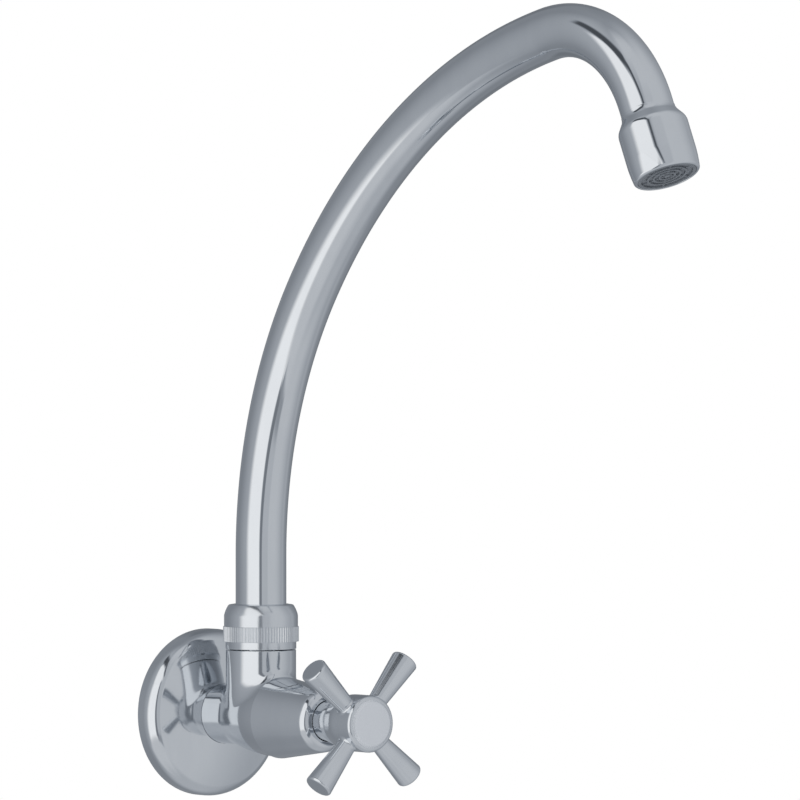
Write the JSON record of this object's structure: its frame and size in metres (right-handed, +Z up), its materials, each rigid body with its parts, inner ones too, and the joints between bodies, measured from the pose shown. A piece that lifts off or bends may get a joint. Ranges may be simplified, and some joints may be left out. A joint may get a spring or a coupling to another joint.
{
  "type": "pre rinse faucet",
  "caption": "Wall-mounted single-inlet sink tap with a tall swan-neck swivel spout, knurled swivel nut, tapered bonnet cover, cross handle and round wall flange.",
  "frame": {"origin": "on the axis of the inlet thread, in the plane of the wall face", "axes": "+Y into the wall along the inlet, -Y out from the wall towards the handle and the spout's outlet, +Z up, +X to the right as seen from the front"},
  "size_m": [0.072, 0.3311, 0.3318],
  "materials": {
    "chrome": "polished",
    "brass": "machined",
    "steel": "bright",
    "rubber": "matt",
    "fibre": "matt",
    "packing": "matt",
    "nylon": "matt",
    "plastic": "satin"
  },
  "bodies": {
    "tap": {"wall_flange": "chrome", "faucet_body": "chrome", "bonnet_gasket": "fibre", "bonnet": "brass", "gland_packing": "packing", "gland_nut": "brass", "bonnet_cover": "chrome", "lower_slip_washer": "nylon", "upper_slip_ring": "nylon", "swivel_nut": "chrome"},
    "valve": {"jumper_valve": "brass", "valve_washer": "rubber", "washer_nut": "brass"},
    "handle": {"valve_stem": "brass", "cross_handle": "chrome", "handle_screw": "steel", "index_cap": "chrome"},
    "spout": {"spout_tail": "brass", "spout_orings": "rubber", "spout_tube": "chrome", "outlet_bell": "chrome", "aerator_gasket": "rubber", "aerator_screen": "steel", "aerator_mixer": "plastic", "aerator_housing": "plastic"}
  },
  "joints": [
    {"name": "spout_swivel", "type": "hinge", "parent": "tap", "child": "spout", "pos_m": [0, -0.04, 0.045], "axis": [0, 0, 1], "range_deg": [-90, 90]},
    {"name": "valve_lift", "type": "slide", "parent": "tap", "child": "valve", "axis": [0, -1, 0], "range_m": [0, 0.00376]},
    {"name": "handle_turn", "type": "hinge", "parent": "valve", "child": "handle", "pos_m": [0, -0.1, 0], "axis": [0, -1, 0], "range_deg": [0, 540]}
  ],
  "couplings": [
    {"joint": "valve_lift", "follows": "handle_turn", "m_per_rad": 0.00039789}
  ]
}
